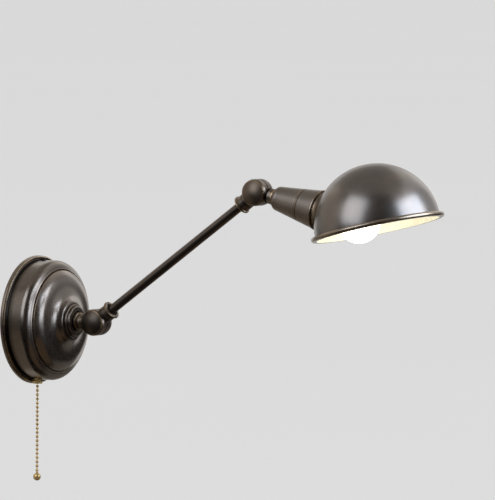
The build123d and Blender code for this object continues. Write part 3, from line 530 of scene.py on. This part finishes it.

# Knuckles
# Each knuckle is two half discs that a hidden bolt draws together on a fibre disc.
# A domed cap is pressed into either side, its edge rubbed to gold and its foot painted dark as shade; the
# lower pair wears a darker copy of the bronze as painted shade.
CAP_DARK = (0.135, 0.096, 0.066, 1)
CAP_LIGHT = (0.19, 0.142, 0.104, 1)
CAP_ROUGH = 0.43
CAP_GLOSS = 0.35
# A darker, duller copy of the cap bronze: painted shade on the lower caps.
SHADED_CAP_DARK = (0.07, 0.05, 0.034, 1)
SHADED_CAP_LIGHT = (0.1, 0.075, 0.055, 1)
SHADED_CAP_GLOSS = 0.3
FIBRE_DARK = (0.16, 0.05, 0.03, 1)
FIBRE_LIGHT = (0.26, 0.1, 0.06, 1)
INTO_WALL = (0.0, 1.0, 0.0)
CAP_STEPS = 96
CAP_POINTS = 24
CAP_TOP = 13.9
# The step at the cap's foot is painted dark as shade.
CAP_EDGE = [
    # radius, height, rounding, rub and gleam, patina and shade
    (0.0, 7.5, 0, 0, 0),
    (9.35, 7.5, 0.1, 0, 0),
    (9.35, 8.6, 0, 0, 0.5),
    (12.8, 8.6, 0.3, 0, 0.9),
    (12.8, 9.5, 0.3, 0.8, 0),
]
cap_r, cap_start = CAP_EDGE[-1][:2]
crown = (cap_r**2 + (CAP_TOP - cap_start) ** 2) / (2 * (CAP_TOP - cap_start))
angle = np.linspace(np.arcsin(cap_r / crown), 0, CAP_POINTS)
cap_dome = np.stack([crown * np.sin(angle), CAP_TOP - crown + crown * np.cos(angle)], 1)
cap_profile = np.concatenate([filleted(CAP_EDGE + [(*cap_dome[1], 0, 0, 0)])[:-1], cap_dome[1:]])
cap_marks = wear_and_shade_marks(cap_profile, CAP_EDGE)
cap_bronze = bronze_finish("cap_bronze", CAP_DARK, CAP_LIGHT, CAP_ROUGH, gloss=CAP_GLOSS)
shaded_cap_bronze = bronze_finish("shaded_cap_bronze", SHADED_CAP_DARK, SHADED_CAP_LIGHT, CAP_ROUGH, gloss=SHADED_CAP_GLOSS)
for place, hinge, side, body, finish in (
    ("lower_front", LOWER_HINGE, -1.0, "swivel", shaded_cap_bronze),
    ("lower_rear", LOWER_HINGE, 1.0, "arm", shaded_cap_bronze),
    ("upper_front", UPPER_HINGE, -1.0, "arm", cap_bronze),
    ("upper_rear", UPPER_HINGE, 1.0, "head", cap_bronze),
):
    grid = turned(cap_profile, hinge, (side, 0.0, 0.0), INTO_WALL, CAP_STEPS)
    make_piece(place + "_dome", grid, cap_marks, finish, body, "bronze", place + "_cap")
fibre = moulded("pressed_fibre", FIBRE_DARK, FIBRE_LIGHT)
coat_nodes(fibre, "lower_friction_disc", "upper_friction_disc")
coat_nodes(zinc, "lower_pivot_bolt", "lower_pivot_nut", "lower_spring_washer")
coat_nodes(zinc, "upper_pivot_bolt", "upper_pivot_nut", "upper_spring_washer")

# Arm tube and its two cups
# A drawn steel tube is screwed into a turned cup at each knuckle and locked by a thin jam nut.
# The cups' lips are rubbed to gold, the recess around the tube stays dark, and dark bands next to the knuckle
# and under the lip are painted shade.
TUBE_DARK = (0.085, 0.060, 0.042, 1)
TUBE_LIGHT = (0.13, 0.098, 0.073, 1)
TUBE_ROUGH = 0.34
TUBE_GLOSS = 0.75
ARM_WAY = (0.0, -0.81085, 0.58527)
ARM_BACK = (0.0, 0.81085, -0.58527)
ARM_CUP_ROUGH = 0.36
ARM_CUP_GLOSS = 0.6
# The dark rows are painted shade; the gold rows are rubbed wear.
ARM_CUP_RINGS = [(15.4, 0.9, 0, 0.6), (20.8, 0.4, 0, 0.4), (21.6, 0.5, 0.4, 0), (23.1, 0.65, 1.0, 0)]
for end, hinge, way in (("lower", LOWER_HINGE, ARM_WAY), ("upper", UPPER_HINGE, ARM_BACK)):
    rings = [(hinge, way, ARM_CUP_RINGS), (hinge, ALONG_HINGE, SPLIT_RINGS)]
    name = end + "_cup_bronze"
    finish = bronze_finish(name, BRONZE_DARK, BRONZE_LIGHT, ARM_CUP_ROUGH, rings, ARM_CUP_GLOSS)
    coat_nodes(finish, end + "_arm_cup")
tube_bronze = bronze_finish("tube_bronze", TUBE_DARK, TUBE_LIGHT, TUBE_ROUGH, gloss=TUBE_GLOSS)
coat_nodes(oiled, "lower_jam_nut", "upper_jam_nut")
coat_nodes(tube_bronze, "arm_tube")

# Head neck and socket cup
# The last knuckle half ends in a ringed stub; the cup on it is a spun cap and a sleeve that meet in a seam.
# Lips and seam edges are rubbed to gold; the seam and the groove hold dark patina and painted shade, and the
# gap between the knuckle and the stub is painted black as shade.
HEAD_WAY = (0.0, -0.97815, -0.20791)
HEAD_ROUGH = 0.38
HEAD_GLOSS = 0.6
# The first ring paints the gap between the knuckle and the stub black as shade.
HEAD_RINGS = [(14.8, 1.8, 0, 1.0), (20.0, 0.4, 0, 0.7), (21.2, 0.9, 0.8, 0), (22.7, 0.6, 0, 1.0)]
SOCKET_DARK = (0.15, 0.116, 0.088, 1)
SOCKET_LIGHT = (0.22, 0.178, 0.144, 1)
SOCKET_ROUGH = 0.37
SOCKET_WEAR_AND_SHADE_REACH = 0.5
SHOULDER_R = 9.8
SHOULDER_AT = 28.4
SHOULDER_OUT = 3.0
SHOULDER_RISE = 5.2
SHOULDER_POINTS = 18
CAP_CONE = [
    # radius, height, rounding, rub and gleam, patina and shade
    (12.8, 28.4, 0, 0, 0),
    (16.896, 54.0, 0.15, 0.6, 0),
    (15.796, 54.0, 0, 0, 0),
    (15.796, 58.6, 0, 0, 0),
    (14.696, 58.6, 0, 0, 0),
    (14.696, 52.9, 0, 0, 0),
    (11.7, 28.4, 0, 0, 0),
    (9.8, 24.3, 0, 0, 0),
    (5.05, 24.3, 0, 0, 0),
    (5.05, 23.2, 0, 0, 0),
]
# The seam groove holds dark patina, and the corner under the lip is painted dark as shade.
SLEEVE = [
    (15.846, 54.6, 0, 0, 1),
    (16.992, 54.6, 0.15, 0.5, 0),
    (17.264, 56.3, 0.06, 0.3, 0),
    (16.914, 56.3, 0.03, 0, 1),
    (16.914, 56.8, 0.03, 0, 1),
    (17.344, 56.8, 0.06, 0.3, 0),
    (20.256, 75.0, 0.1, 0, 0.4),
    (20.748, 75.0, 0.15, 0.5, 0),
    (20.748, 76.2, 0.3, 0.8, 0),
    (15.15, 76.2, 0, 0, 0),
    (15.15, 74.8, 0, 0, 0),
    (19.124, 74.8, 0, 0, 0),
    (16.582, 60.3, 0, 0, 0),
    (15.846, 59.2, 0, 0, 0),
    (15.846, 54.6, 0, 0, 0),
]
rings = [(UPPER_HINGE, HEAD_WAY, HEAD_RINGS), (UPPER_HINGE, ALONG_HINGE, SPLIT_RINGS)]
head_bronze = bronze_finish("head_bronze", BRONZE_DARK, BRONZE_LIGHT, HEAD_ROUGH, rings, HEAD_GLOSS)
coat_nodes(head_bronze, "head_neck")
angle = np.linspace(0, np.pi / 2, SHOULDER_POINTS)
shoulder_r = SHOULDER_R + SHOULDER_OUT * np.sin(angle)
shoulder = np.stack([shoulder_r, SHOULDER_AT - SHOULDER_RISE * np.cos(angle)], 1)
cap_seat = np.array([CAP_CONE[-1][:2]])
socket_profile = np.concatenate([cap_seat, shoulder[:-1], filleted(CAP_CONE)])
sleeve_profile = filleted(SLEEVE)
cup_bronze = bronze_finish("cup_bronze", SOCKET_DARK, SOCKET_LIGHT, SOCKET_ROUGH)
for name, profile, corners, node in (
    ("socket_cap_shell", socket_profile, CAP_CONE, "socket_cap"),
    ("socket_sleeve_shell", sleeve_profile, SLEEVE, "socket_sleeve"),
):
    grid = turned(profile, UPPER_HINGE, HEAD_WAY, ALONG_HINGE)
    marks = wear_and_shade_marks(profile, corners, SOCKET_WEAR_AND_SHADE_REACH)
    make_piece(name, grid, marks, cup_bronze, "head", "bronze", node)

# Lampholder
# A moulded black body screwed to the stub, with a brass screw shell and contact inside.
# A notched ring and a nut of zinc-plated steel clamp the shade and the cup to it.
coat_nodes(phenolic, "lampholder")
coat_nodes(brass, "screw_shell", "centre_contact")
coat_nodes(zinc, "cup_nut", "shade_ring")

# Shade
# A dome spun from one steel disc, with a drawn and flared neck and a rim rolled over into a bead.
# It wears the same bronze outside, a little greyer, and its neck is clamped under the socket sleeve.
SHADE_DARK = (0.112, 0.105, 0.102, 1)
SHADE_LIGHT = (0.205, 0.17, 0.143, 1)
SHADE_ROUGH = 0.31
DOME_CENTRE = (0.0, -411.216, 109.891)
DOME_AT = 145.19
DOME_R = 64.0
SHADE_WALL = 1.0
NECK_R = 18.5
NECK_START = 76.2
FLANGE_END = 77.4
FLANGE_R = 15.15
FLARE_R = 10.0
SHADE_UP = (0.0, 0.24192, 0.97030)
BEAD_AT = (66.1, -0.5)
RIM_BEAD_R = 2.4
SKIRT = 2.9
SKIRT_BEVEL = 0.3
SKIRT_TOP = 0.5
SHADE_STEPS = 192
DOME_ROWS = 72
FLARE_POINTS = 16
RIM_BEAD_POINTS = 28
# A dark line painted as shade in the crease between the dome and the bead.
BEAD_CREASE_SHADE = (0.5, 0.8, 0.4)
# Gold on the bead's outer and lower rows: rubbed wear and a painted warm reflection of the bulb.
BEAD_RUB_AND_REFLECTION = 0.35
BEAD_PLAIN_ROWS = 6
# Gold painted on the neck and flare as a gleam where they lie in shade behind the sleeve's lip.
FLARE_PAINTED_GLEAM = 0.4
FLARE_PLAIN_ROWS = 4
shade_up, neck_way = np.array(SHADE_UP), -np.array(HEAD_WAY)
shade_side = shade_up - (shade_up @ neck_way) * neck_way
shade_side /= np.linalg.norm(shade_side)


def flare(neck_r, ball_r, ball_at, flare_r):
    """Hollow arc that touches a straight neck and a ball on one axis, and the ball's angle where it ends.

    The arc's centre is neck_r + flare_r from the axis and ball_r + flare_r from the ball's centre.
    """
    out = neck_r + flare_r
    meet = np.arcsin(out / (ball_r + flare_r))
    turn = np.linspace(0, np.pi / 2 - meet, FLARE_POINTS)
    start = ball_at - np.sqrt((ball_r + flare_r) ** 2 - out**2)
    return np.stack([out - flare_r * np.cos(turn), start + flare_r * np.sin(turn)], 1), meet


def dome_grid(ball_r, meet, rim_z):
    """Part of a ball in polar angles about the neck: from the flare's angle out to a level of the rim.

    On the half plane at angle a the rim lies where A cos t + B sin t = level / radius, with A and B the
    shares of the shade's own upright along the neck and across it.
    """
    a = np.arange(SHADE_STEPS) * 2 * np.pi / SHADE_STEPS
    ring = np.cos(a)[:, None] * shade_side + np.sin(a)[:, None] * np.cross(HEAD_WAY, shade_side)
    along, aside = shade_up @ neck_way, ring @ shade_up
    edge = np.arctan2(aside, along) + np.arccos(rim_z / ball_r / np.hypot(along, aside))
    t = meet + np.linspace(0, 1, DOME_ROWS)[:, None] * (edge - meet)
    ball = np.cos(t)[..., None] * neck_way + np.sin(t)[..., None] * ring
    return np.array(DOME_CENTRE) + ball_r * ball


def rim_grid(profile, dome):
    """A profile carried round the rim: dome centre + radius * outward + height * the shade's upright."""
    spoke = dome[-1] - DOME_CENTRE
    spoke = spoke - (spoke @ shade_up)[:, None] * shade_up
    spoke /= np.linalg.norm(spoke, axis=1, keepdims=True)
    return np.array(DOME_CENTRE) + profile[:, 0, None, None] * spoke + profile[:, 1, None, None] * shade_up


bead_meet = np.arccos((DOME_R - BEAD_AT[0]) / RIM_BEAD_R)
angle = np.linspace(bead_meet, -np.pi / 2, RIM_BEAD_POINTS)
bead = np.array(BEAD_AT) + RIM_BEAD_R * np.stack([np.cos(angle), np.sin(angle)], 1)
inner_r = DOME_R - SHADE_WALL
skirt = [(inner_r + SKIRT_BEVEL, -SKIRT), (inner_r, -SKIRT + SKIRT_BEVEL), (inner_r, -SKIRT_TOP)]
rim_profile = np.concatenate([bead[1:], skirt])
outer_flare, outer_meet = flare(NECK_R, DOME_R, DOME_AT, FLARE_R)
inner_flare, inner_meet = flare(NECK_R - SHADE_WALL, inner_r, DOME_AT, FLARE_R + SHADE_WALL)
outer_dome = dome_grid(DOME_R, outer_meet, bead[0, 1])
inner_dome = dome_grid(inner_r, inner_meet, 0.0)
flange_back = [(NECK_R - SHADE_WALL, FLANGE_END), (FLANGE_R, FLANGE_END)]
flange_front = [(FLANGE_R, NECK_START), (NECK_R, NECK_START)]
outer_neck = np.concatenate([flange_front[1:], outer_flare[:-1]])
inner_neck = np.concatenate([inner_flare[::-1][1:], flange_back, flange_front])
shade_grid = np.concatenate(
    [
        turned(outer_neck, UPPER_HINGE, HEAD_WAY, shade_side, SHADE_STEPS),
        outer_dome,
        rim_grid(rim_profile, outer_dome),
        inner_dome[::-1],
        turned(inner_neck, UPPER_HINGE, HEAD_WAY, shade_side, SHADE_STEPS),
    ]
)
neck_rows, bead_rows = len(outer_neck), len(rim_profile)
bead_first = neck_rows + DOME_ROWS
rub_and_gleam, patina_and_shade = np.zeros((2, len(shade_grid)))
# Shade painted into the crease above the bead.
patina_and_shade[bead_first - 1 : bead_first + 2] = BEAD_CREASE_SHADE
# Rubbed gold and a painted warm reflection on the bead.
rub_and_gleam[bead_first + BEAD_PLAIN_ROWS : bead_first + bead_rows] = BEAD_RUB_AND_REFLECTION
# Painted gleam on the neck and flare.
rub_and_gleam[: neck_rows - FLARE_PLAIN_ROWS] = FLARE_PAINTED_GLEAM
shade_marks = {"rub_and_gleam": rub_and_gleam, "patina_and_shade": patina_and_shade}
shade_bronze = bronze_finish("shade_bronze", SHADE_DARK, SHADE_LIGHT, SHADE_ROUGH)
make_piece("shade_dome", shade_grid, shade_marks, shade_bronze, "head", "shade_bronze", "shade")

# Shade liner
# White enamel fired on the inside of the shade, glossy, with the faint waviness of a fired coat.
# It reaches down to the bead, where it shows as a thin pale edge.
ENAMEL_DARK = (0.74, 0.71, 0.54, 1)
ENAMEL_LIGHT = (0.82, 0.8, 0.65, 1)
ENAMEL_ROUGH = (0.2, 0.34)
ENAMEL_WAVES = 45
ENAMEL_WAVE_DETAIL = 3
ENAMEL_MOTTLE = 300
ENAMEL_RELIEF = (0.1, 0.0002)
LINING_WALL = 0.5
LINING_HOLE_R = 24.1
LINING_CORNER = 0.1
LINING_ROUND = 0.3
enamel, tree, shader, place = start_material("white_enamel")
wave = noise(tree, place, ENAMEL_WAVES, ENAMEL_WAVE_DETAIL)
mottle = noise(tree, place, ENAMEL_MOTTLE)
tree.links.new(blend_colours(tree, wave, ENAMEL_DARK, ENAMEL_LIGHT), shader.inputs["Base Color"])
tree.links.new(spread(tree, mottle, *NOISE_SPAN, *ENAMEL_ROUGH), shader.inputs["Roughness"])
tree.links.new(relief(tree, wave, *ENAMEL_RELIEF), shader.inputs["Normal"])
lining_r = inner_r - LINING_WALL
lining_rim = filleted(
    [
        (inner_r, 0.0, 0),
        (inner_r, -SKIRT, LINING_CORNER),
        (lining_r, -SKIRT, LINING_ROUND),
        (lining_r, 0.0, 0),
    ]
)[1:-1]
outer_lining = dome_grid(inner_r, np.arcsin(LINING_HOLE_R / inner_r), 0.0)
inner_lining = dome_grid(lining_r, np.arcsin(LINING_HOLE_R / lining_r), 0.0)
lining_grid = np.concatenate(
    [outer_lining, rim_grid(lining_rim, outer_lining), inner_lining[::-1], outer_lining[:1]]
)
make_piece("enamel_lining", lining_grid, {}, enamel, "head", "white_enamel", "shade_liner")

# Globe bulb
# Opal glass globe, lit, blown with a short neck into an aluminium screw base with a tip contact.
# The glass glows an even warm white with a faint clouding.
BULB_R = 22.1
BULB_AT = 122.9
BULB_NECK_R = 11.8
BULB_FLARE_R = 5.0
BULB_POINTS = 49
GLASS_START = 99.4
GLASS_WHITE = (0.9, 0.88, 0.83, 1)
GLASS_ROUGH = (0.16, 0.26)
GLASS_CLOUDS = 60
GLASS_RELIEF = (0.1, 0.0002)
GLOW_WARM = (1.0, 0.86, 0.66, 1)
GLOW_WHITE = (1.0, 0.95, 0.86, 1)
GLOW_STRENGTH = 3.0
ALUMINIUM_DARK = (0.55, 0.55, 0.53, 1)
ALUMINIUM_LIGHT = (0.8, 0.8, 0.78, 1)
ALUMINIUM_ROUGH = (0.22, 0.34)
bulb_flare, bulb_meet = flare(BULB_NECK_R, BULB_R, BULB_AT, BULB_FLARE_R)
angle = np.linspace(bulb_meet, np.pi, BULB_POINTS)[1:]
globe = np.stack([BULB_R * np.sin(angle), BULB_AT - BULB_R * np.cos(angle)], 1)
bulb_profile = np.concatenate([[(0.0, GLASS_START), (BULB_NECK_R, GLASS_START)], bulb_flare, globe])
glass, tree, shader, place = start_material("opal_glass")
cloud = noise(tree, place, GLASS_CLOUDS)
tree.links.new(blend_colours(tree, cloud, GLOW_WARM, GLOW_WHITE), shader.inputs["Emission Color"])
tree.links.new(spread(tree, cloud, *NOISE_SPAN, *GLASS_ROUGH), shader.inputs["Roughness"])
tree.links.new(relief(tree, cloud, *GLASS_RELIEF), shader.inputs["Normal"])
shader.inputs["Base Color"].default_value = GLASS_WHITE
shader.inputs["Emission Strength"].default_value = GLOW_STRENGTH
bulb_grid = turned(bulb_profile, UPPER_HINGE, HEAD_WAY, ALONG_HINGE)
make_piece("opal_globe", bulb_grid, {}, glass, "head", "opal_glass", "bulb_glass")
lamp_cap = plain_metal("lamp_cap", ALUMINIUM_DARK, ALUMINIUM_LIGHT, ALUMINIUM_ROUGH)
coat_nodes(lamp_cap, "bulb_base", "bulb_tip")

# Floor
# A plain pale floor far below the lamp, large enough to fill the picture.
FLOOR_LEVEL = -0.75
FLOOR_REACH = 90.0
FLOOR_CORNERS = [(-1, -1), (1, -1), (1, 1), (-1, 1)]
FLOOR_GREY = (0.8, 0.8, 0.8, 1)
FLOOR_PALE = (0.82, 0.82, 0.82, 1)
FLOOR_ROUGH = 0.9
FLOOR_CLOUDS = 0.3
mesh = bpy.data.meshes.new("pale_floor")
corners = [(x * FLOOR_REACH, y * FLOOR_REACH, FLOOR_LEVEL) for x, y in FLOOR_CORNERS]
mesh.from_pydata(corners, [], [(0, 1, 2, 3)])
material, tree, shader, place = start_material("pale_floor")
cloud = noise(tree, place, FLOOR_CLOUDS)
tree.links.new(blend_colours(tree, cloud, FLOOR_GREY, FLOOR_PALE), shader.inputs["Base Color"])
shader.inputs["Roughness"].default_value = FLOOR_ROUGH
mesh.materials.append(material)
floor = bpy.data.objects.new("pale_floor", mesh)
bpy.context.scene.collection.objects.link(floor)
floor.visible_glossy = False

# Camera
# The photograph's view: nearly level, from the left of the lamp, through a long lens, leaning a little.
AZIMUTH, ELEVATION, LEAN = np.radians([-58.3, 3.2, 0.4])
DISTANCE = 7.0
PIXELS_PER_METRE = 963.7
FRAME_HEIGHT = 500
FRAME_CENTRE = (247.5, 250.0)
ORIGIN_PIXEL = (35.6, 319.3)
SENSOR_WIDTH = 36.0
level = np.array([np.cos(AZIMUTH), np.sin(AZIMUTH), 0.0])
ahead = np.array([np.sin(AZIMUTH), -np.cos(AZIMUTH), 0.0])
toward = ahead * np.cos(ELEVATION) + np.array([0.0, 0.0, np.sin(ELEVATION)])
upright = np.cross(toward, level)
right = level * np.cos(LEAN) + upright * np.sin(LEAN)
upward = upright * np.cos(LEAN) - level * np.sin(LEAN)
focal_pixels = PIXELS_PER_METRE * DISTANCE
offset_x = (ORIGIN_PIXEL[0] - FRAME_CENTRE[0]) / focal_pixels
offset_y = (FRAME_CENTRE[1] - ORIGIN_PIXEL[1]) / focal_pixels
lens = bpy.data.cameras.new("camera")
lens.sensor_fit = "AUTO"
lens.sensor_width = SENSOR_WIDTH
lens.lens = focal_pixels / FRAME_HEIGHT * SENSOR_WIDTH
camera = bpy.data.objects.new("camera", lens)
bpy.context.scene.collection.objects.link(camera)
stand = DISTANCE * (toward - offset_x * right - offset_y * upward)
turned_to = Matrix(np.array([right, upward, toward]).T.tolist())
camera.matrix_world = Matrix.Translation(Vector(stand)) @ turned_to.to_4x4()
bpy.context.scene.camera = camera

# Studio light
# Two soft boxes left and right of the camera, wide dim tent panels around the lamp, a faint warm pool below.
# The camera sees none of them. An even white sky, which no metal mirrors, lights the floor and the enamel.
SKY_WHITE = (1, 1, 1, 1)
SKY_STRENGTH = 0.95
AIM = np.array([0.0, -0.25, 0.06])
BOXES = [
    # name, turn from the camera to the right, height angle, distance, width, height, glow, tint
    ("left_box", -45, 28, 2.0, 1.43, 1.7, 2.1, (0.92, 0.98, 1.08)),
    ("right_box", 68, 15.5, 0.77, 0.6, 0.65, 3.9, (0.88, 0.99, 1.16)),
    ("tent_top", 180, 76, 2.06, 4.0, 4.0, 0.29, (1.0, 0.92, 0.82)),
    ("tent_left", -105, 15, 2.0, 2.6, 2.2, 0.40, (1.0, 0.90, 0.79)),
    ("tent_right", 112, 29, 2.0, 3.4, 2.1, 0.45, (1.0, 0.98, 0.97)),
    ("tent_back", 180, 9, 1.1, 1.6, 1.2, 0.6, (1.0, 0.96, 0.92)),
    ("tent_front", 10, 25, 3.0, 6.0, 4.6, 0.05, (1.0, 0.80, 0.62)),
    ("tent_low_left", -111, -34, 0.83, 1.1, 0.55, 0.19, (1.0, 0.83, 0.66)),
    ("bulb_pool", 58, -68, 0.43, 0.4, 0.4, 0.12, (1.0, 0.66, 0.36)),
    ("tent_low_right", 170, -42, 0.66, 1.0, 0.4, 0.18, (1.0, 0.90, 0.8)),
]
world = bpy.data.worlds.new("studio")
bpy.context.scene.world = world
world.use_nodes = True
world.node_tree.nodes["Background"].inputs["Color"].default_value = SKY_WHITE
world.node_tree.nodes["Background"].inputs["Strength"].default_value = SKY_STRENGTH
world.cycles_visibility.glossy = False
bpy.context.scene.view_settings.view_transform = "Standard"
for name, turn, lift, distance, width, height, glow, tint in BOXES:
    turn, lift = np.radians([turn, lift])
    way = np.cos(lift) * (np.sin(turn) * right + np.cos(turn) * toward) + np.sin(lift) * upward
    light = bpy.data.lights.new(name, "AREA")
    light.shape = "RECTANGLE"
    light.size, light.size_y = width, height
    light.energy = glow * np.pi * width * height
    light.color = tint
    lamp = bpy.data.objects.new(name, light)
    bpy.context.scene.collection.objects.link(lamp)
    lamp.location = AIM + way * distance
    lamp.rotation_euler = Vector(way).to_track_quat("Z", "Y").to_euler()
    lamp.visible_camera = False
